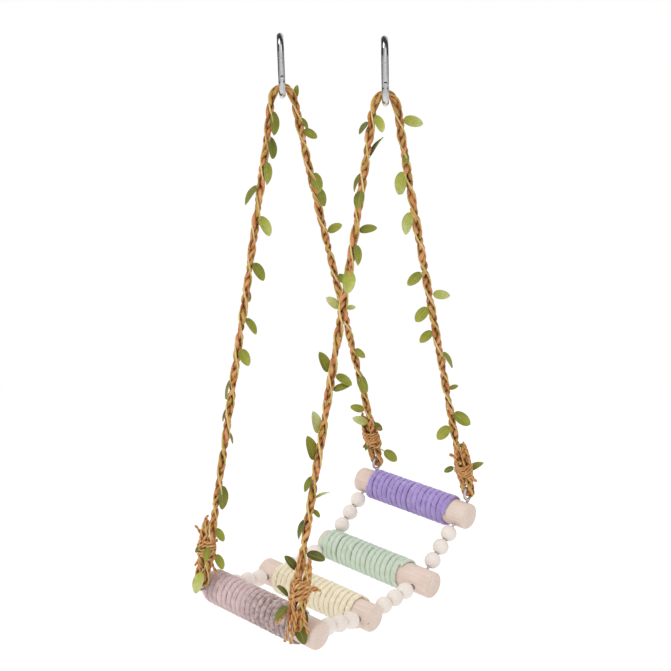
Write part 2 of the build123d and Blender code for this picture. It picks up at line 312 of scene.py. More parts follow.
def makeFloor(s):
    half = s["floorSize"] / 2
    corners = [(x * half, y * half, -s["floorDrop"]) for x, y in ((-1, -1), (1, -1), (1, 1), (-1, 1))]
    mesh = newMesh("floor", corners, [], [(0, 1, 2, 3)])
    floor = addObject("floor", mesh)
    material, tree, shader = startMaterial("paintedStudioFloor", s["floorFinish"])
    shader.inputs["Base Color"].default_value = hexColour(s["floorColour"])
    # far from the object the floor turns into the white backdrop
    flat = vectorMaths(tree, "MULTIPLY", objectPlace(tree), (1, 1, 0))
    fade = remap(tree, vectorMaths(tree, "LENGTH", flat), *s["floorFade"], ease="SMOOTHSTEP")
    ray = addNode(tree, "ShaderNodeLightPath").outputs
    seen = maths(tree, "MAXIMUM", ray["Is Camera Ray"], ray["Is Glossy Ray"])
    lift = maths(tree, "MULTIPLY", seen, s["floorGlow"])
    glow = made(tree, "ShaderNodeEmission", {}, {"Color": white, "Strength": lift})
    lifted = made(tree, "ShaderNodeAddShader", {}, {0: shader.outputs[0], 1: glow})
    backdrop = made(tree, "ShaderNodeEmission", {}, {"Color": white, "Strength": 1.0})
    part = maths(tree, "MULTIPLY", seen, fade)
    mixed = made(tree, "ShaderNodeMixShader", {}, {0: part, 1: lifted, 2: backdrop})
    tree.links.new(mixed, tree.nodes["Material Output"].inputs["Surface"])
    mesh.materials.append(material)


makeWorld(studioSettings)
makeLamps(studioSettings)
makeFloor(studioSettings)
print("camera and studio set")


# sanded birch, no varnish: pale, faint growth rings, fine short fibres, no gloss, a brown knot here and there

birchSettings = {
    "finish": {"Roughness": 0.75, "Specular IOR Level": 0.3},
    "ringWander": {"Distortion": 5.0, "Detail": 3.0, "Detail Scale": 0.25},
    "drawn": (0.05, 1.0, 1.0),   # fibres lie along the rung
    "fibreDetail": 4.0, "blotchMm": 13.0, "blotchDetail": 2.0,
    "ringShare": 0.16, "blotchShare": 0.9, "toneSpan": (0.55, 1.5),
    "knotColour": "#8C6346", "knotSpan": (0.5, 1.6), "knotMost": 0.8,   # span in shares of the knot's radius
    "bump": (0.25, 0.1),
    # the dowels' knot is on the face of the cream rung's right end: place and radius, mm
    "dowel": {"colours": [(0.0, "#D3BCAE"), (0.5, "#DFCBBF"), (1.0, "#EADBD2")],
              "ringMm": 2.3, "fibreMm": 1.1, "knots": [((48.0, -32.0, -355.6), 1.1)]},
    "bead": {"colours": [(0.0, "#E2D5CA"), (0.5, "#EBE1D9"), (1.0, "#F4EEE8")],
             "ringMm": 1.6, "fibreMm": 0.8, "knots": []},
}


def birchWood(name, key, s):
    kind = s[key]
    material, tree, shader = startMaterial(name, s["finish"])
    place = objectPlace(tree)
    settings = {"wave_type": "RINGS", "rings_direction": "X", "wave_profile": "SAW"}
    links = {"Vector": place, "Scale": pi / 10 / (kind["ringMm"] * mm), **s["ringWander"]}
    rings = addNode(tree, "ShaderNodeTexWave", settings, links).outputs["Fac"]
    drawn = stretched(tree, place, s["drawn"])
    fibres = noise(tree, drawn, 1 / (kind["fibreMm"] * mm), s["fibreDetail"])["Fac"]
    blotch = noise(tree, place, 1 / (s["blotchMm"] * mm), s["blotchDetail"])["Fac"]
    grain = maths(tree, "MULTIPLY_ADD", rings, s["ringShare"], fibres)
    tone = maths(tree, "MULTIPLY_ADD", blotch, s["blotchShare"], grain)
    colour = colourRamp(tree, remap(tree, tone, *s["toneSpan"]), kind["colours"])
    for spot, radius in kind["knots"]:
        far = vectorMaths(tree, "DISTANCE", place, [c * mm for c in spot])
        far = maths(tree, "MULTIPLY_ADD", fibres, radius * mm, far)
        core, rim = (share * radius * mm for share in s["knotSpan"])
        mark = remap(tree, far, core, rim, s["knotMost"], 0.0, "SMOOTHSTEP")
        colour = mixColour(tree, mark, colour, hexColour(s["knotColour"]))
    endMaterial(tree, shader, colour, grain, s["bump"])
    return material


dowelWood = birchWood("sandedBirchDowel", "dowel", birchSettings)
beadWood = birchWood("turnedBirchBead", "bead", birchSettings)


# soft spun cotton: matt, faint fuzz; painted light on the raised cord and painted shade between the turns

cottonSettings = {
    "finish": {"Roughness": 0.95, "Sheen Weight": 0.3, "Sheen Roughness": 0.6, "Specular IOR Level": 0.1},
    "yarnMm": 2.4, "yarnsAround": 14.0, "yarnDetail": (4.0, 0.6),
    "patchMm": 9.0, "patchDetail": 3.0,
    "yarnShare": 0.45, "patchShare": 0.3, "toneSpan": (0.2, 1.5),
    "bump": (0.5, 0.2),
    # each ramp's dark end is painted shade for the hollows, its light end the cord's painted lit outside
    "pink": ("dustyPinkCotton", [(0.0, "#806A6B"), (0.35, "#AD9294"), (0.7, "#C0A3A4"), (1.0, "#D6BFBF")]),
    "cream": ("creamCotton", [(0.0, "#AC9A70"), (0.35, "#D8C8A0"), (0.7, "#E4D6B4"), (1.0, "#EEE6CE")]),
    "mint": ("mintCotton", [(0.0, "#869F84"), (0.35, "#AEC2AA"), (0.7, "#BDCEB9"), (1.0, "#CEDBCA")]),
    "purple": ("lilacCotton", [(0.0, "#5E4889"), (0.35, "#876DB4"), (0.7, "#9980C4"), (1.0, "#B09DD4")]),
    # painted shadow of the rope: grey patches, stronger towards one end of the rung, mm
    "ropeShadow": {"pink": {"from": -16.0, "to": 6.0, "patchMm": 3.0, "most": 0.85, "colour": "#78695F"}},
    "ropeShadowDetail": (5.0, 0.7), "ropeShadowSpan": (0.38, 0.62),
}


def strandFields(tree):
    return [attribute(tree, name) for name in ("rise", "along", "around", "strand")]


def cottonCord(key, s):
    name, colours = s[key]
    ropeShadow = s["ropeShadow"].get(key)
    material, tree, shader = startMaterial(name, s["finish"])
    place = objectPlace(tree)
    rise, along, around, strand = strandFields(tree)
    run = maths(tree, "DIVIDE", along, s["yarnMm"] * mm)
    ring = maths(tree, "MULTIPLY", around, s["yarnsAround"])
    yarn = noise(tree, threeOf(tree, run, ring, strand), 1.0, *s["yarnDetail"])["Fac"]
    patch = noise(tree, place, 1 / (s["patchMm"] * mm), s["patchDetail"])["Fac"]
    # painted shade: rise darkens the colour where the cord lies near its middle, in the hollows between
    # strands and turns
    tone = maths(tree, "MULTIPLY_ADD", yarn, s["yarnShare"], rise)
    tone = maths(tree, "MULTIPLY_ADD", patch, s["patchShare"], tone)
    colour = colourRamp(tree, remap(tree, tone, *s["toneSpan"]), colours)
    # painted shadow: grey patches laid over the wrap, growing towards its right end
    if ropeShadow:
        reach = addNode(tree, "ShaderNodeSeparateXYZ", {}, {0: place}).outputs["X"]
        reach = remap(tree, reach, ropeShadow["from"] * mm, ropeShadow["to"] * mm, ease="SMOOTHSTEP")
        spots = noise(tree, place, 1 / (ropeShadow["patchMm"] * mm), *s["ropeShadowDetail"])["Fac"]
        spots = remap(tree, spots, *s["ropeShadowSpan"], 0.0, ropeShadow["most"])
        colour = mixColour(tree, maths(tree, "MULTIPLY", reach, spots), colour, hexColour(ropeShadow["colour"]))
    endMaterial(tree, shader, colour, yarn, s["bump"])
    return material


wrapCotton = {key: cottonCord(key, cottonSettings) for key in ("pink", "cream", "mint", "purple")}


# kraft paper spun into twine: each strand dyed its own brown, fibrous streaks, dull crests; painted shade in
# the folds and painted light on the crests

twineSettings = {
    "finish": {"Roughness": 0.62, "Specular IOR Level": 0.3},
    "fibreMm": 7.0, "fibresAround": 6.0, "slant": 2.2, "strandsApart": 7.3,
    "fibreNoise": (3.4, 6.0, 0.72), "lotNoise": (0.2, 1.0),   # scale, detail, roughness
    "fibreShare": 2.0, "strandShare": 0.3, "dyeSpan": (0.3, 1.3),
    "bump": (0.8, 0.3),
    # painted shade and light: dark in the folds, up to white on the crests
    "shades": [(0.0, "#2E1C06"), (0.25, "#7A6238"), (0.5, "#CBB894"), (0.75, "#F8ECD8"), (1.0, "#FFFFFF")],
    # dyes of each twine, and the span of its shades
    "vine": ([(0.0, "#D08C52"), (0.35, "#E0A27C"), (0.65, "#DBAE72"), (1.0, "#C3A257")], (1.2, 2.2)),
    "stem": ([(0.0, "#C2A64C"), (0.6, "#E2CE92"), (1.0, "#B0A24C")], (1.0, 2.0)),
    "tie": ([(0.0, "#D8A872"), (0.4, "#CE9660"), (0.7, "#E4CA92"), (1.0, "#C8B060")], (0.95, 2.05)),
}


def paperTwine(name, key, s):
    dyes, toneSpan = s[key]
    material, tree, shader = startMaterial(name, s["finish"])
    rise, along, around, strand = strandFields(tree)
    run = maths(tree, "DIVIDE", along, s["fibreMm"] * mm)
    ring = maths(tree, "MULTIPLY", around, s["fibresAround"])
    slant = maths(tree, "MULTIPLY_ADD", run, s["slant"], ring)
    lie = threeOf(tree, run, slant, maths(tree, "MULTIPLY", strand, s["strandsApart"]))
    fibres = noise(tree, lie, *s["fibreNoise"])["Fac"]
    lot = noise(tree, lie, *s["lotNoise"])["Fac"]
    # painted shade: rise darkens the twine near the rope's middle and lightens its outside
    tone = maths(tree, "MULTIPLY_ADD", fibres, s["fibreShare"], rise)
    shade = colourRamp(tree, remap(tree, tone, *toneSpan), s["shades"])
    pick = maths(tree, "MULTIPLY_ADD", strand, s["strandShare"], lot)
    dye = colourRamp(tree, remap(tree, pick, *s["dyeSpan"]), dyes)
    endMaterial(tree, shader, mixColour(tree, 1.0, dye, shade, "MULTIPLY"), fibres, s["bump"])
    return material


vinePaper = paperTwine("brownPaperTwine", "vine", twineSettings)
stemPaper = paperTwine("strawPaperStem", "stem", twineSettings)
tiePaper = paperTwine("salmonPaperTwine", "tie", twineSettings)


# stiffened polyester cloth with a leaf print: satin face, paler back, lighter midrib and veins

clothSettings = {
    "finish": {"Roughness": 0.5, "Specular IOR Level": 0.35, "Sheen Weight": 0.1},
    "ribSpan": (0.01, 0.05),
    "veins": 7.5, "veinSweep": -0.55, "veinSpan": (0.7, 1.0), "veinMost": 0.5,   # about one vein each 2 mm
    "mottleMm": 4.0, "mottleDetail": 3.0,
    # the print is darker at the base and yellower at the tip and edge
    "edgeShare": 0.35, "tipShare": 0.28, "mottleShare": 0.4, "toneSpan": (0.25, 1.45),
    "greens": [(0.0, "#43460B"), (0.25, "#676914"), (0.5, "#878A24"), (0.75, "#A6A942"), (1.0, "#C8CE92")],
    "lineColour": "#BFC46E", "lineShare": 0.35, "backColour": "#B9BE7E", "backShare": 0.45,
    "bump": (0.4, 0.15),
}


def printedLeafCloth(name, s):
    material, tree, shader = startMaterial(name, s["finish"])
    uv = made(tree, "ShaderNodeUVMap", {"uv_map": "leafUv"})
    uv = addNode(tree, "ShaderNodeSeparateXYZ", {}, {0: uv}).outputs
    aside = maths(tree, "ABSOLUTE", maths(tree, "SUBTRACT", uv["Y"], 0.5))
    rib = remap(tree, aside, *s["ribSpan"], 1.0, 0.0, "SMOOTHSTEP")
    # side veins sweep forward from the midrib
    sweep = maths(tree, "MULTIPLY_ADD", aside, s["veinSweep"], uv["X"])
    wave = maths(tree, "SINE", maths(tree, "MULTIPLY", sweep, 2 * pi * s["veins"]))
    vein = remap(tree, wave, *s["veinSpan"], 0.0, s["veinMost"], "SMOOTHSTEP")
    lines = maths(tree, "MAXIMUM", rib, vein)
    mottle = noise(tree, objectPlace(tree), 1 / (s["mottleMm"] * mm), s["mottleDetail"])["Fac"]
    edge = maths(tree, "MULTIPLY_ADD", aside, s["edgeShare"], uv["X"])
    shade = maths(tree, "MULTIPLY_ADD", edge, s["tipShare"], attribute(tree, "tone"))
    shade = maths(tree, "MULTIPLY_ADD", mottle, s["mottleShare"], shade)
    face = colourRamp(tree, remap(tree, shade, *s["toneSpan"]), s["greens"])
    face = mixColour(tree, maths(tree, "MULTIPLY", lines, s["lineShare"]), face, hexColour(s["lineColour"]))
    back = maths(tree, "MULTIPLY", attribute(tree, "under"), s["backShare"])
    endMaterial(tree, shader, mixColour(tree, back, face, hexColour(s["backColour"])), lines, s["bump"])
    return material


leafCloth = printedLeafCloth("printedLeafCloth", clothSettings)


# bent steel wire under bright nickel: clear reflections, slightly uneven along the bends

steelSettings = {
    "hook": {"colours": [(0.3, "#B4B4B6"), (0.7, "#D2D2D4")], "roughness": 0.14, "spreadMm": 6.0},
    "wire": {"colours": [(0.3, "#CFC8CC"), (0.7, "#E6E1E4")], "roughness": 0.5, "spreadMm": 4.0},
    "cloudDetail": 3.0, "glossSpan": (0.7, 1.4),   # shares of the roughness
    "drawn": (1.0, 1.0, 0.08), "scuffMm": 0.35, "scuffDetail": 2.0,
    "bump": (0.08, 0.03),
}


def platedSteel(name, key, s):
    kind = s[key]
    material, tree, shader = startMaterial(name, {"Metallic": 1.0})
    place = objectPlace(tree)
    cloud = noise(tree, place, 1 / (kind["spreadMm"] * mm), s["cloudDetail"])["Fac"]
    smooth, rough = (share * kind["roughness"] for share in s["glossSpan"])
    tree.links.new(remap(tree, cloud, 0.0, 1.0, smooth, rough), shader.inputs["Roughness"])
    scuff = noise(tree, stretched(tree, place, s["drawn"]), 1 / (s["scuffMm"] * mm), s["scuffDetail"])["Fac"]
    endMaterial(tree, shader, colourRamp(tree, cloud, kind["colours"]), scuff, s["bump"])
    return material


hookSteel = platedSteel("brightNickelSteel", "hook", steelSettings)
wireSteel = platedSteel("drawnSteelWire", "wire", steelSettings)
print("materials made:", len(bpy.data.materials))


# strands that follow a path, twisted round each other or plaited

strandSettings = {
    "apart": 3.7,               # m between the strands' places in the noise
    "strayMm": 9.0, "swellMm": 5.0, "noiseDetail": 1.0,
    "swell": (0.3, 0.7, 0.8, 1.18),   # noise span, then shares of the thickness
}


def makeStrandTree(s):
    tree, given = newTree("strandTree", ("Strands", "Sides"), (
        "Lay", "Spread", "Depth", "Weave", "Shift", "Turn", "Thickness", "Unevenness", "Step", "Reach"))
    path = made(tree, "GeometryNodeMeshToCurve", {}, {0: given["Geometry"]})
    path = made(tree, "GeometryNodeResampleCurve", {"mode": "LENGTH"},
                {"Curve": path, "Length": given["Step"]})
    copies = addNode(tree, "GeometryNodeDuplicateElements", {"domain": "SPLINE"},
                     {"Geometry": path, "Amount": given["Strands"]}).outputs
    number = copies["Duplicate Index"]
    length = addNode(tree, "GeometryNodeSplineParameter").outputs["Length"]
    middle = made(tree, "GeometryNodeInputPosition")
    kept = store(tree, copies[0], "middle", middle, "FLOAT_VECTOR")
    kept = store(tree, kept, "along", length)
    kept = store(tree, kept, "strand", number)
    # phase along the lay, each strand a share of a turn behind the last
    laid = maths(tree, "DIVIDE", length, given["Lay"])
    behind = maths(tree, "DIVIDE", number, given["Strands"])
    phase = maths(tree, "MULTIPLY", maths(tree, "ADD", laid, behind), 2 * pi)
    across = maths(tree, "MULTIPLY", maths(tree, "SINE", phase), given["Spread"])
    over = maths(tree, "SINE", maths(tree, "MULTIPLY_ADD", phase, given["Weave"], given["Shift"]))
    over = maths(tree, "MULTIPLY", over, given["Depth"])
    # the whole plait turns slowly about its path
    turn = maths(tree, "MULTIPLY", maths(tree, "DIVIDE", length, given["Turn"]), 2 * pi)
    tangent = made(tree, "GeometryNodeInputTangent")
    normal = addNode(tree, "GeometryNodeInputNormal").outputs["Normal"]
    side = made(tree, "ShaderNodeVectorRotate", {"rotation_type": "AXIS_ANGLE"},
                {"Vector": normal, "Axis": tangent, "Angle": turn})
    front = vectorMaths(tree, "CROSS_PRODUCT", tangent, side)
    move = vectorMaths(tree, "ADD", scaled(tree, side, across), scaled(tree, front, over))
    # each strand strays a little from its lay, and swells and thins
    spot = vectorMaths(tree, "ADD", middle, threeOf(tree, maths(tree, "MULTIPLY", number, s["apart"])))
    stray = noise(tree, spot, 1 / (s["strayMm"] * mm), s["noiseDetail"])["Color"]
    stray = vectorMaths(tree, "SUBTRACT", stray, (0.5, 0.5, 0.5))
    move = vectorMaths(tree, "ADD", move, scaled(tree, stray, given["Unevenness"]))
    strands = made(tree, "GeometryNodeSetPosition", {}, {"Geometry": kept, "Offset": move})
    thick = noise(tree, spot, 1 / (s["swellMm"] * mm), s["noiseDetail"])["Fac"]
    thick = remap(tree, thick, *s["swell"])
    ring = made(tree, "GeometryNodeCurvePrimitiveCircle", {"mode": "RADIUS"},
                {"Resolution": given["Sides"], "Radius": given["Thickness"]})
    ring = store(tree, ring, "around", addNode(tree, "GeometryNodeSplineParameter").outputs["Factor"])
    tubes = made(tree, "GeometryNodeCurveToMesh", {},
                 {"Curve": strands, "Profile Curve": ring, "Scale": thick, "Fill Caps": True})
    # rise: 0 at the middle of the rope, 1 on its outside; the cotton and twine finishes paint shade and light
    # from it
    place = made(tree, "GeometryNodeInputPosition")
    rise = vectorMaths(tree, "DISTANCE", place, stored(tree, "middle", "FLOAT_VECTOR"))
    tubes = store(tree, tubes, "rise", maths(tree, "DIVIDE", rise, given["Reach"]))
    tubes = made(tree, "GeometryNodeSetShadeSmooth", {}, {0: tubes})
    return endTree(tree, tubes, given["Material"])


strandTree = makeStrandTree(strandSettings)
twisted = {"Weave": 1.0, "Shift": pi / 2, "Turn": 900 * mm}   # strands that circle their path


# vine ropes: a plait of three paper strands with a straw stem laid round it

vineSettings = {
    "diameter": 5.4,
    "plait": {"Strands": 3, "Lay": 23 * mm, "Spread": 1.4 * mm, "Depth": 0.85 * mm, "Weave": 2.0,
              "Shift": 0.0, "Turn": 75 * mm, "Thickness": 1.2 * mm, "Unevenness": 1.2 * mm,
              "Step": 0.8 * mm, "Sides": 10, "Reach": 2.7 * mm, "Material": vinePaper},
    "stem": {"Strands": 2, "Lay": 38 * mm, "Spread": 2.1 * mm, "Depth": 2.1 * mm, **twisted,
             "Thickness": 0.6 * mm, "Unevenness": 1.3 * mm, "Step": 1.0 * mm, "Sides": 7,
             "Reach": 2.7 * mm, "Material": stemPaper},
    "lineOrder": 3, "lineSteps": 24,
    # points of each rope's route in mm: front tail, front eye, over the hook, back eye, back tail
    "routes": {
        "left": [
            (-45.4, -82.0, -293.5), (-44.9, -89.2, -318.5), (-46.2, -93.1, -331.9), (-37.8, -93.1, -331.9),
            (-39.1, -89.2, -318.5), (-39.4, -85.3, -305.1), (-44.4, -12.1, -53.4), (-46.5, -4.7, -22.4),
            (-37.5, 4.7, -22.4), (-39.0, 12.0, -53.5), (-39.1, 77.5, -281.9), (-39.1, 81.3, -295.4),
            (-37.8, 85.1, -308.9), (-46.2, 85.1, -308.9), (-44.9, 81.3, -295.4), (-45.0, 74.2, -270.4),
        ],
        "right": [
            (45.0, -82.0, -293.5), (44.9, -89.2, -318.5), (46.2, -93.1, -331.9), (37.8, -93.1, -331.9),
            (39.1, -89.2, -318.5), (39.1, -85.3, -305.1), (38.8, -11.9, -53.4), (37.1, -4.3, -22.4),
            (46.9, 4.3, -22.4), (44.5, 11.7, -53.5), (39.4, 77.5, -281.9), (39.1, 81.3, -295.4),
            (37.8, 85.1, -308.9), (46.2, 85.1, -308.9), (44.9, 81.3, -295.4), (45.4, 74.2, -270.4),
        ],
    },
}


def routeLine(points, s):
    curve = bpy.data.curves.new("route", "CURVE")
    curve.dimensions = "3D"
    curve.resolution_u = s["lineSteps"]
    spline = curve.splines.new("NURBS")
    spline.points.add(len(points) - 1)
    for knot, point in zip(spline.points, points):
        knot.co = (*[c * mm for c in point], 1.0)
    spline.order_u = s["lineOrder"]
    spline.use_endpoint_u = True
    holder = bpy.data.objects.new("route", curve)
    mesh = bpy.data.meshes.new_from_object(holder)
    line = np.array([v.co for v in mesh.vertices])
    bpy.data.objects.remove(holder)
    return line


def lineLength(line):
    return float(np.linalg.norm(np.diff(line, axis=0), axis=1).sum())


vineLines, vines = {}, {}
for side in sides:
    line = routeLine(vineSettings["routes"][side], vineSettings)
    plait = growPiece("plait_" + side, strandTree, pathMesh([line]), vineSettings["plait"])
    stem = growPiece("stem_" + side, strandTree, pathMesh([line]), vineSettings["stem"])
    vineLines[side] = line
    vines[side] = joinPieces("vineRope_" + side, [plait, stem])
    print("vine", side, "length", round(lineLength(line), 4), "m, faces", len(vines[side].data.polygons))


# ties: twisted strands wound round each rope and its tail, with loose ends, and the tail's frayed tip

tieSettings = {
    "strand": {"Strands": 2, "Lay": 8.0 * mm, "Spread": 0.5 * mm, "Depth": 0.5 * mm, **twisted,
               "Thickness": 0.64 * mm, "Unevenness": 0.9 * mm, "Step": 0.6 * mm, "Sides": 8,
               "Reach": 1.1 * mm, "Material": tiePaper},
    # half sizes of the loop round both ropes, and height of its middle, mm
    "long": 6.3, "wide": 3.7, "rise": 9.0,
    # windings: turns, height mm, tilt degrees, start, swell share; one knot is pulled aslant
    "windings": ((4, 9.0, 16.0, 0.0, 0.97), (2, 8.0, -34.0, 1.9, 1.06)),
    "slanted": {("right", "front"): ((4, 11.0, -38.0, 0.0, 0.97), (3, 9.0, -46.0, 1.9, 1.06))},
    "stepsPerTurn": 36, "waver": ((0.05, 3.1, 0.0), (0.05, 1.3, 1.0)),   # share, waves to a radian, start
    # strands along the knot: turn degrees about it, low and high end mm, twist degrees, bulge share
    "runs": ((15, -8, 27, 40, 0.5), (95, -6, 30, -50, 0.6),
             (170, -10, 31, 40, 0.52), (265, -7, 28, -45, 0.62)),
    "runSteps": 40, "runSwell": 0.42, "runRound": 0.6,
    # loose ends of each knot: height mm, turn degrees about the knot, length mm, upward lean
    "looseEnds": {
        ("left", "front"): ((2, 160, 11, -0.9), (1, 40, 8, -1.4), (17, 200, 8, 1.6), (12, 90, 6, 0.8)),
        ("left", "back"): ((1, 120, 6, -1.4), (16, 20, 5, 1.4), (4, 200, 6, -1.2)),
        ("right", "front"): ((-1, 118, 20, -6.0), (-2, 96, 19, -5.0), (-2, 30, 13, -1.8),
                             (-3, 180, 12, -1.6), (13, 185, 7, 0.8), (11, 215, 8, 0.6)),
        ("right", "back"): ((2, 200, 5, -1.6), (17, 30, 5, 1.6), (10, 330, 4, 0.8)),
    },
    "looseSteps": 12, "looseSeat": 0.85, "looseBend": (0.3, -0.5),   # bend outwards and upwards
    # the tail's tip: turns in degrees, length mm, start below the tip mm, outward lean and bend
    "frayTurns": (10, 130, 250), "frayLength": 3.5, "fraySunk": 2.0, "frayLean": 0.25, "frayBend": 0.8,
}


def legPoints(side, end):
    points = [Vector(p) for p in vineSettings["routes"][side]]
    if end == "back":
        points.reverse()
    return points[0], points[1], points[4], points[7]   # tail tip, tail low, leg low, hook


def looseEnd(start, way, bend, length, steps):
    line = [start]
    for i in range(steps):
        way = (way + bend / steps).normalized()
        line.append(line[-1] + way * (length / steps))
    return line


def makeTie(side, end, s):
    tailTip, tailLow, legLow, top = legPoints(side, end)
    up = (top - legLow).normalized()
    long = (legLow - tailLow).normalized()
    wide = up.cross(long)
    middle = (legLow + tailLow) / 2

    def onLoop(angle, swell, rise):
        around = long * (s["long"] * swell * cos(angle)) + wide * (s["wide"] * swell * sin(angle))
        return middle + around + up * rise

    lines = []
    for turns, height, tilt, start, swellShare in s["slanted"].get((side, end), s["windings"]):
        line = []
        steps = s["stepsPerTurn"] * turns
        for i in range(steps + 1):
            share = i / steps
            angle = start + 2 * pi * turns * share
            waver = sum(part * sin(waves * angle + begin) for part, waves, begin in s["waver"])
            slant = s["long"] * sin(radians(tilt)) * cos(angle + share)
            line.append(onLoop(angle, swellShare * (1 + waver), s["rise"] + height * (share - 0.5) + slant))
        lines.append(line)
    for turn, low, high, twist, bulge in s["runs"]:
        line = []
        for i in range(s["runSteps"] + 1):
            share = i / s["runSteps"]
            swell = s["runSwell"] + bulge * sin(pi * share) ** s["runRound"]
            line.append(onLoop(radians(turn + twist * share), swell, low + (high - low) * share))
        lines.append(line)
    outBend, upBend = s["looseBend"]
    for rise, turn, length, lean in s["looseEnds"][(side, end)]:
        out = long * cos(radians(turn)) + wide * sin(radians(turn))
        start = onLoop(radians(turn), s["looseSeat"], rise)
        lines.append(looseEnd(start, out + up * lean, out * outBend + up * upBend, length, s["looseSteps"]))
    start = tailTip - up * s["fraySunk"]
    for turn in s["frayTurns"]:
        out = long * cos(radians(turn)) + wide * sin(radians(turn))
        way, bend = up + out * s["frayLean"], out * s["frayBend"]
        lines.append(looseEnd(start, way, bend, s["frayLength"], s["looseSteps"]))
    mesh = pathMesh([[p * mm for p in line] for line in lines])
    return growPiece(f"tie_{side}_{end}", strandTree, mesh, s["strand"])


ties = {(side, end): makeTie(side, end, tieSettings) for side in sides for end in ends}
print("ties made:", {key: len(piece.data.polygons) for key, piece in ties.items()})


# leaves: cut cloth blades on short stems, along each leg of vine and stuck into its knot

leafSettings = {
    "length": 16.4, "width": 8.2, "thickness": 0.35, "stem": 1.2,   # mm
    "rows": 16, "columns": 8,
    # widest a little before the middle, round at the base, drawn out at the tip
    "outline": (0.5, 0.62), "outlinePeak": 0.463,
    "crease": 0.25, "creaseSharp": 6, "edgeThin": 0.8,   # fold along the midrib in mm, thinning to the edge
    # stem: a thin tapered stalk that runs under the blade's base
    "stemThick": 0.5, "stemTaper": 0.55, "stemReach": 2.6, "stemDip": 0.55, "stemRings": 7, "stemSides": 6,
    "sunk": 1.4,        # stem below the rope's surface, mm
    "ropeReach": 1.5, "knotReach": 4.0,   # surface of the rope and of the knot from the middle of the leg, mm
    "knotFrom": 0.95,   # share of the leg where the knot starts
    "shapes": [(1.6, 1.0, 0.2), (-1.0, 1.5, 0.5), (2.6, 0.6, -0.7)],   # droop, cup and twist of each cut, mm
}

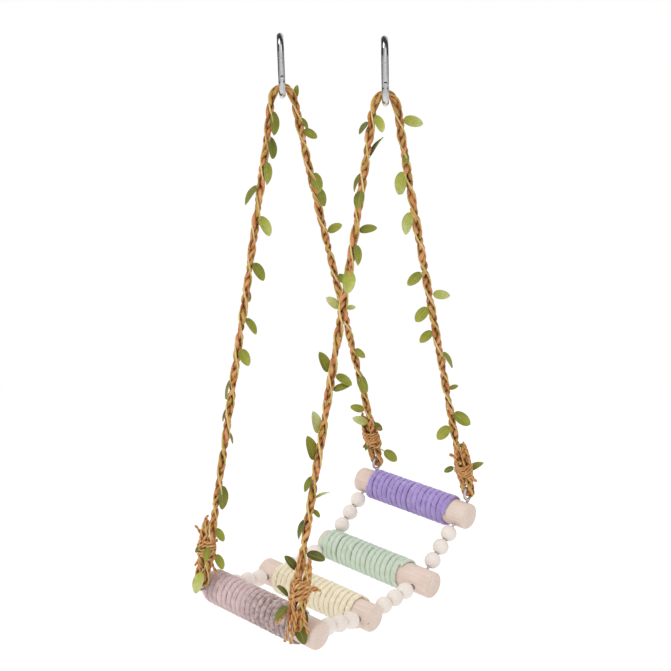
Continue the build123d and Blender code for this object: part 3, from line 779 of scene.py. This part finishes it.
# for each leg: share of the leg from the hook, turn, lean and roll in degrees, size share, tone share, cut
leafSettings["places"] = {
    ("left", "front"): (
        (0.045, 35, 74, -32, 1.0, 0.35, 0), (0.095, 30, 77, -24, 0.95, 0.2, 1),
        (0.15, 35, 75, -38, 0.95, 0.6, 2), (0.205, 220, 60, 38, 0.95, 0.3, 0),
        (0.258, 40, 58, -52, 0.92, 0.8, 1), (0.355, 40, 50, -60, 0.85, 0.4, 0),
        (0.42, 100, 60, -30, 0.6, 0.2, 2), (0.475, 40, 45, -38, 0.8, 0.5, 0),
        (0.535, 10, 50, -55, 0.82, 0.55, 1), (0.585, 215, 74, 20, 0.9, 0.3, 2),
        (0.66, 205, 74, 15, 0.7, 0.35, 0), (0.7, 60, 70, -20, 0.55, 0.4, 1),
        (0.82, 30, 76, -30, 1.05, 0.3, 0), (0.915, 35, 52, -50, 0.65, 0.5, 1),
        (0.975, 35, 58, -50, 0.7, 0.55, 1), (1.012, 266, 74, 22, 0.95, 0.9, 0),
        (0.955, 225, 45, 40, 0.5, 0.1, 2), (0.96, -60, 66, 0, 0.6, 0.4, 0),
    ),
    ("left", "back"): (
        (0.03, 60, -74, -40, 0.5, 0.5, 0), (0.07, 45, 74, -30, 0.55, 0.4, 1),
        (0.105, 30, 42, -56, 0.66, 0.45, 1), (0.195, 20, 78, -38, 1.0, 0.5, 2),
        (0.25, 45, 76, -40, 0.95, 0.4, 0), (0.36, 40, -16, -52, 0.72, 0.6, 1),
        (0.46, 5, 24, -64, 0.75, 0.4, 0), (0.565, 45, 10, -40, 0.45, 0.9, 1),
        (0.575, 220, -56, 58, 0.78, 0.95, 2), (0.68, 15, 48, -54, 0.62, 0.5, 0),
        (0.765, -20, 74, -44, 0.95, 0.4, 1), (0.878, 222, -28, 58, 0.7, 0.5, 0),
        (0.918, 225, -36, 56, 0.76, 0.95, 2), (0.915, 35, 52, -46, 0.6, 0.2, 0),
        (1.008, 38, 52, -48, 0.9, 0.6, 0), (0.97, 222, 60, 40, 0.55, 0.1, 1),
    ),
    ("right", "front"): (
        (0.036, 30, 60, -52, 0.72, 0.8, 1), (0.05, 220, 58, 45, 0.58, 0.1, 0),
        (0.118, 25, -72, -40, 0.85, 0.12, 2), (0.15, 215, 72, 30, 0.75, 0.25, 0),
        (0.178, -60, 74, 0, 0.75, 0.3, 1), (0.262, 38, -22, -60, 0.7, 0.35, 0),
        (0.285, 20, 68, -30, 0.8, 0.5, 2), (0.335, -40, 74, 0, 0.95, 0.8, 1),
        (0.525, 222, -54, 55, 0.88, 0.35, 1), (0.53, 38, 20, -50, 0.74, 0.45, 0),
        (0.582, 38, -32, -44, 0.72, 0.4, 2), (0.648, 218, -64, 48, 0.92, 1.0, 1),
        (0.702, 222, -68, 50, 1.0, 0.4, 0), (0.735, 250, 72, 15, 0.7, 0.3, 1),
        (0.79, 40, -40, -15, 0.6, 1.0, 2), (0.8, 30, 40, -40, 0.4, 0.3, 1),
        (0.82, 218, 74, 30, 0.85, 0.05, 0), (0.89, 32, 10, -48, 0.78, 0.0, 1),
        (0.925, 222, -44, 45, 0.72, 0.0, 0), (1.0, 30, 72, -40, 0.8, 0.0, 1),
        (1.03, 8, 52, -45, 0.88, 0.1, 0), (0.985, 225, -45, 20, 0.6, 0.1, 2),
        (1.0, 250, 50, 15, 0.75, 0.2, 0),
    ),
    ("right", "back"): (
        (0.055, 40, 26, -62, 0.78, 0.85, 1), (0.12, -40, 74, 0, 0.48, 0.35, 0),
        (0.175, 220, 64, 48, 1.05, 0.8, 2), (0.272, 222, 68, 48, 1.0, 0.9, 1),
        (0.415, 230, 32, 58, 0.78, 0.5, 1), (0.47, 38, 14, -56, 0.74, 0.9, 2),
        (0.51, 222, 42, 60, 0.88, 0.6, 0), (0.565, 222, 36, 55, 0.74, 0.5, 1),
        (0.64, 40, 64, -10, 0.9, 0.5, 0), (0.735, 40, -16, -40, 0.42, 0.5, 2),
        (0.8, 38, 52, -50, 0.96, 0.5, 1), (0.843, 222, 42, 58, 0.92, 0.6, 0),
        (0.9, 60, 44, -40, 0.55, 0.3, 2), (0.985, 40, -28, -15, 0.8, 0.5, 2),
        (0.965, 222, 20, 50, 0.5, 0.2, 1), (0.95, 30, 64, -30, 0.55, 0.3, 0),
    ),
}


def leafCut(name, s, droop, cup, twist):
    rows, columns = s["rows"], s["columns"]
    rings, around = s["stemRings"], s["stemSides"]
    blade = s["length"] - s["stem"]
    swell, taper = s["outline"]
    points, uvs, unders = [], [], []
    for under in (0, 1):
        for i in range(rows + 1):
            t = i / rows
            half = s["width"] / 2 * t ** swell * (1 - t) ** taper / s["outlinePeak"]
            for j in range(columns + 1):
                v = 2 * j / columns - 1
                fold = s["crease"] * (1 - abs(v)) ** s["creaseSharp"]
                z = -droop * t * t + cup * (v * v) * sin(pi * t) - fold + twist * v * t
                z -= under * s["thickness"] * (1 - s["edgeThin"] * v * v)
                points.append((s["stem"] + blade * t, v * half, z))
                uvs.append((t, (v + 1) / 2))
                unders.append(float(under))
    wide = columns + 1
    layer = (rows + 1) * wide
    faces = []
    for i in range(rows):
        for j in range(columns):
            a = i * wide + j
            faces.append((a, a + wide, a + wide + 1, a + 1))
            faces.append((layer + a, layer + a + 1, layer + a + wide + 1, layer + a + wide))
        for j in (0, columns):
            a = i * wide + j
            quad = (a, layer + a, layer + a + wide, a + wide)
            faces.append(quad if j else quad[::-1])
    first = len(points)
    for i in range(rings):
        t = i / (rings - 1)
        thick = s["stemThick"] * (1 - s["stemTaper"] * t)
        x = s["stem"] * s["stemReach"] * t - s["sunk"] * (1 - t)
        for j in range(around):
            angle = 2 * pi * j / around
            points.append((x, thick * cos(angle), thick * sin(angle) - s["stemDip"] * t))
            uvs.append((0.1, 0.5))
            unders.append(0.5)
    for i in range(rings - 1):
        for j in range(around):
            a, b = first + i * around + j, first + i * around + (j + 1) % around
            faces.append((a, b, b + around, a + around))
    last = first + (rings - 1) * around
    faces.append(tuple(first + j for j in reversed(range(around))))
    faces.append(tuple(last + j for j in range(around)))
    mesh = newMesh(name, [(x * mm, y * mm, z * mm) for x, y, z in points], [], faces)
    mesh.validate()
    layerUv = mesh.uv_layers.new(name="leafUv")
    for loop in mesh.loops:
        layerUv.data[loop.index].uv = uvs[loop.vertex_index]
    setField(mesh, "under", "FLOAT", unders)
    mesh.shade_smooth()
    return addObject(name, mesh)


def makeLeafTree(cuts):
    tree, given = newTree("leafTree", (), ())
    joined = addNode(tree, "GeometryNodeJoinGeometry")
    for cut in reversed(cuts):
        whole = addNode(tree, "GeometryNodeObjectInfo", {}, {"Object": cut, "As Instance": True})
        tree.links.new(whole.outputs["Geometry"], joined.inputs[0])
    turn = made(tree, "FunctionNodeEulerToRotation", {}, {0: stored(tree, "leafTurn", "FLOAT_VECTOR")})
    spots = made(tree, "GeometryNodeMeshToPoints", {}, {0: given["Geometry"]})
    blades = made(tree, "GeometryNodeInstanceOnPoints", {}, {
        "Points": spots, "Instance": joined.outputs[0], "Pick Instance": True, "Rotation": turn,
        "Instance Index": stored(tree, "leafCut", "INT"), "Scale": stored(tree, "leafSize")})
    return endTree(tree, blades, given["Material"])


leafCuts = [leafCut(f"leafCut{i}", leafSettings, *shape) for i, shape in enumerate(leafSettings["shapes"])]
leafTree = makeLeafTree(leafCuts)


def makeLeaves(side, end, s):
    legLow, top = legPoints(side, end)[2:]
    down = (legLow - top).normalized()
    line = vineLines[side]
    places, turns, sizes, tones, cuts = [], [], [], [], []
    for share, turn, lean, roll, sizeShare, toneShare, cut in s["places"][(side, end)]:
        reach = s["knotReach"] if share >= s["knotFrom"] else s["ropeReach"]
        spot = np.array(top + (legLow - top) * share) * mm
        near = int(np.argmin(np.linalg.norm(line - spot, axis=1)))
        level = Vector((cos(radians(turn)), sin(radians(turn)), 0))
        out = (level - down * level.dot(down)).normalized()
        beside = down.cross(out)
        way = out * cos(radians(lean)) + down * sin(radians(lean))
        # the cloth's printed side looks up and away from the rope
        face = -way.cross(beside) * cos(radians(roll)) - beside * sin(radians(roll))
        basis = Matrix((way, face.cross(way), face)).transposed()
        places.append(Vector(line[near]) + out * reach * mm)
        turns.extend(basis.to_euler("XYZ"))
        sizes.append(sizeShare)
        tones.append(toneShare)
        cuts.append(cut)
    mesh = newMesh("leafSpots", places, [], [])
    setField(mesh, "leafTurn", "FLOAT_VECTOR", turns)
    setField(mesh, "leafSize", "FLOAT", sizes)
    setField(mesh, "tone", "FLOAT", tones)
    setField(mesh, "leafCut", "INT", cuts)
    return growPiece(f"leafSpray_{side}_{end}", leafTree, mesh, {"Material": leafCloth})


leafSprays = {(side, end): makeLeaves(side, end, leafSettings) for side in sides for end in ends}
for cut in leafCuts:
    bpy.data.objects.remove(cut)
print("leaves made:", {key: len(piece.data.polygons) for key, piece in leafSprays.items()})


# each rope, its ties and its leaves go with the swing, in place of the part's rope, ties and leaves

for side in sides:
    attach(vines[side], "swing")
    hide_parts("vine_" + side)
    for end in ends:
        tie, leaves = ties[(side, end)], leafSprays[(side, end)]
        for piece, node, slot in ((tie, "vine_tie", "tie_cord"), (leaves, "leaves", "leaf_cloth")):
            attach(piece, "swing")
            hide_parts(f"{node}_{side}_{end}")
    line = vineLines[side]


# wraps: cotton cord wound on the dowels and pressed flat by its own pull

wrapSettings = {
    "cord": {"Strands": 3, "Lay": 6.0 * mm, "Spread": 1.1 * mm, "Depth": 1.1 * mm, **twisted,
             "Thickness": 1.3 * mm, "Unevenness": 0.4 * mm, "Step": 0.8 * mm, "Sides": 7, "Reach": 2.3 * mm},
    "dowelRadius": 9.0, "cordRadius": 2.1, "lift": 0.1,   # mm
    "press": 0.48,   # share of the cord's thickness that is left
    # ends along the rung, mm
    "ends": {"pink": (-46.5, 37.2), "cream": (-37.5, 38.0), "mint": (-45.5, 31.6), "purple": (-39.2, 37.2)},
    "turns": {"pink": 18, "cream": 16, "mint": 16, "purple": 16},
    "stepsPerTurn": 64, "drift": 0.16,   # drift of a turn, mm
    "tuck": 0.18, "tuckShift": 0.45, "tuckSink": 0.35,   # tucked part of a turn, shares of pitch and cord
    # fibres on a square metre, and the fibre's bow, ring and tilt
    "fuzz": {"Density": 2.2e5, "Length": 1.5 * mm, "Thickness": 0.045 * mm},
    "fuzzBow": {"Resolution": 2, "Start": (0, 0, 0), "Middle": (0.1, 0, 0.6), "End": (0.75, 0, 0.7)},
    "fuzzSides": 3, "fuzzTilt": ((-0.7, -0.7, 0.0), (0.7, 0.7, 6.28)), "fuzzSize": (0.4, 1.2),
}


def makeFuzzTree(s):
    tree, given = newTree("fuzzTree", ("Seed",), ("Density", "Length", "Thickness"))
    seed = given["Seed"]
    spots = addNode(tree, "GeometryNodeDistributePointsOnFaces", {"distribute_method": "RANDOM"},
                    {"Mesh": given["Geometry"], "Density": given["Density"], "Seed": seed}).outputs
    bow = made(tree, "GeometryNodeCurveQuadraticBezier", {}, s["fuzzBow"])
    ring = made(tree, "GeometryNodeCurvePrimitiveCircle", {"mode": "RADIUS"},
                {"Resolution": s["fuzzSides"], "Radius": 1.0})
    thin = maths(tree, "DIVIDE", given["Thickness"], given["Length"])
    fibre = made(tree, "GeometryNodeCurveToMesh", {}, {"Curve": bow, "Profile Curve": ring, "Scale": thin})
    least, most = s["fuzzTilt"]
    tilt = made(tree, "FunctionNodeRandomValue", {"data_type": "FLOAT_VECTOR"},
                {0: least, 1: most, "Seed": seed})
    tilt = made(tree, "FunctionNodeEulerToRotation", {}, {0: tilt})
    turn = made(tree, "FunctionNodeRotateRotation", {"rotation_space": "LOCAL"},
                {0: spots["Rotation"], 1: tilt})
    short, tall = s["fuzzSize"]
    size = addNode(tree, "FunctionNodeRandomValue", {"data_type": "FLOAT"},
                   {2: short, 3: tall, "Seed": seed}).outputs[1]
    size = maths(tree, "MULTIPLY", size, given["Length"])
    fibres = made(tree, "GeometryNodeInstanceOnPoints", {},
                  {"Points": spots["Points"], "Instance": fibre, "Rotation": turn, "Scale": size})
    fibres = made(tree, "GeometryNodeRealizeInstances", {}, {0: fibres})
    # fibres get rise 1, the light end of the painted shade
    return endTree(tree, store(tree, fibres, "rise", 1.0), given["Material"])


fuzzTree = makeFuzzTree(wrapSettings)


def pressFlat(mesh, centre, s):
    points = np.empty(len(mesh.vertices) * 3, np.float32)
    mesh.vertices.foreach_get("co", points)
    points = points.reshape(-1, 3)
    flat = points[:, 1:] - np.array((centre.y, centre.z)) * mm
    away = np.linalg.norm(flat, axis=1)
    seat = s["dowelRadius"] * mm
    pressed = seat + s["lift"] * mm + (away - seat) * s["press"]
    points[:, 1:] += flat * (pressed / away - 1)[:, None]
    mesh.vertices.foreach_set("co", points.ravel())
    mesh.update()


def makeWrap(name, s, seed):
    low, high = (Vector(c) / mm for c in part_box("dowel_" + name))
    centre = (low + high) / 2
    start, stop = s["ends"][name]
    turns, perTurn, tuckLength = s["turns"][name], s["stepsPerTurn"], s["tuck"]
    start += s["cordRadius"]
    pitch = (stop - s["cordRadius"] - start) / turns
    rng = np.random.default_rng(seed)
    drift = rng.normal(0, s["drift"], turns + 3)
    path = []
    for i in range(perTurn * turns + 1):
        turn = i / perTurn
        tuck = max(0.0, turn - turns + tuckLength) / tuckLength + max(0.0, tuckLength - turn) / tuckLength
        shift = float(np.interp(turn, np.arange(turns + 3), drift))
        inward = pitch * s["tuckShift"] * tuck * (1 if turn < 1 else -1)
        x = start + pitch * turn + shift + inward
        radius = s["dowelRadius"] + s["cordRadius"] * (1 - s["tuckSink"] * tuck)
        angle = 2 * pi * turn + seed
        path.append((x * mm, (centre.y + radius * cos(angle)) * mm, (centre.z + radius * sin(angle)) * mm))
    cotton = {"Material": wrapCotton[name]}
    cord = growPiece("cottonWrap_" + name, strandTree, pathMesh([path]), {**s["cord"], **cotton})
    pressFlat(cord.data, centre, s)
    fuzz = growPiece("fuzz_" + name, fuzzTree, cord.data, {**s["fuzz"], "Seed": seed, **cotton})
    piece = joinPieces("cottonWrap_" + name, [cord, fuzz])
    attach(piece, "swing")
    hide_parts("wrap_" + name)
    return piece


wraps = {name: makeWrap(name, wrapSettings, seed) for seed, name in enumerate(wrapCotton)}
print("wraps made:", {name: len(piece.data.polygons) for name, piece in wraps.items()})


# beads: turned balls with a small flat and a rounded lip at each end of the bore

beadSettings = {
    "radius": 5.58, "bore": 1.3, "lip": 0.5, "unevenness": 0.05,   # mm
    "segments": 40, "rings": 22, "lobes": 3, "squash": 0.02,
    "mouth": ((0.0, 2.5), (0.0, 0.9), (0.12, 0.3)),   # bore inside the mouth: widening and depth, mm
    "evenTo": 0.2,   # the bore stays round this far out, mm
}


def makeBead(name, joint, s, seed):
    axis = Vector(joint["axis"]).normalized()
    aside = Vector((1, 0, 0))
    front = axis.cross(aside)
    middle = Vector(joint["pos_m"])
    rng = np.random.default_rng(seed)
    spin, squash = rng.uniform(0, 2 * pi), rng.uniform(-s["squash"], s["squash"])
    mouth = s["bore"] + s["lip"]
    reach = (s["radius"] ** 2 - mouth ** 2) ** 0.5
    profile = [(s["bore"] + wider, -reach + deep) for wider, deep in s["mouth"]]
    first = np.arctan2(-reach, mouth)
    profile += [(s["radius"] * cos(a), s["radius"] * sin(a)) for a in np.linspace(first, -first, s["rings"])]
    profile += [(r, -h) for r, h in profile[2::-1]]
    n = s["segments"]
    points, faces = [], []
    for r, h in profile:
        lobe = s["unevenness"] / s["radius"] * (r > s["bore"] + s["evenTo"])
        for j in range(n):
            angle = 2 * pi * j / n + spin
            wide = r * (1 + lobe * sin(s["lobes"] * angle + h))
            spot = aside * (wide * cos(angle)) + front * (wide * sin(angle)) + axis * (h * (1 + squash))
            points.append(middle + spot * mm)
    for i in range(len(profile)):
        after = (i + 1) % len(profile)
        for j in range(n):
            faces.append((i * n + j, i * n + (j + 1) % n, after * n + (j + 1) % n, after * n + j))
    mesh = newMesh(name, points, [], faces)
    mesh.shade_smooth()
    mesh.materials.append(beadWood)
    piece = addObject(name, mesh)
    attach(piece, joint["child"])
    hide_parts(joint["child"])


beadJoints = [joint for joint in frame["joints"] if joint["name"].startswith("bead_spin")]
for seed, joint in enumerate(beadJoints):
    makeBead("turnedBead" + joint["child"][4:], joint, beadSettings, seed)
print("beads made:", len(beadJoints))


# dowels, side wires and hooks keep their solids and get their finishes

finishes = {"dowel": dowelWood, "side_wire": wireSteel, "hook": hookSteel, "gate": hookSteel}
for name, node in frame["nodes"].items():
    for start, finish in finishes.items():
        if name.startswith(start):
            node.data.materials.clear()
            node.data.materials.append(finish)

print("scene done")
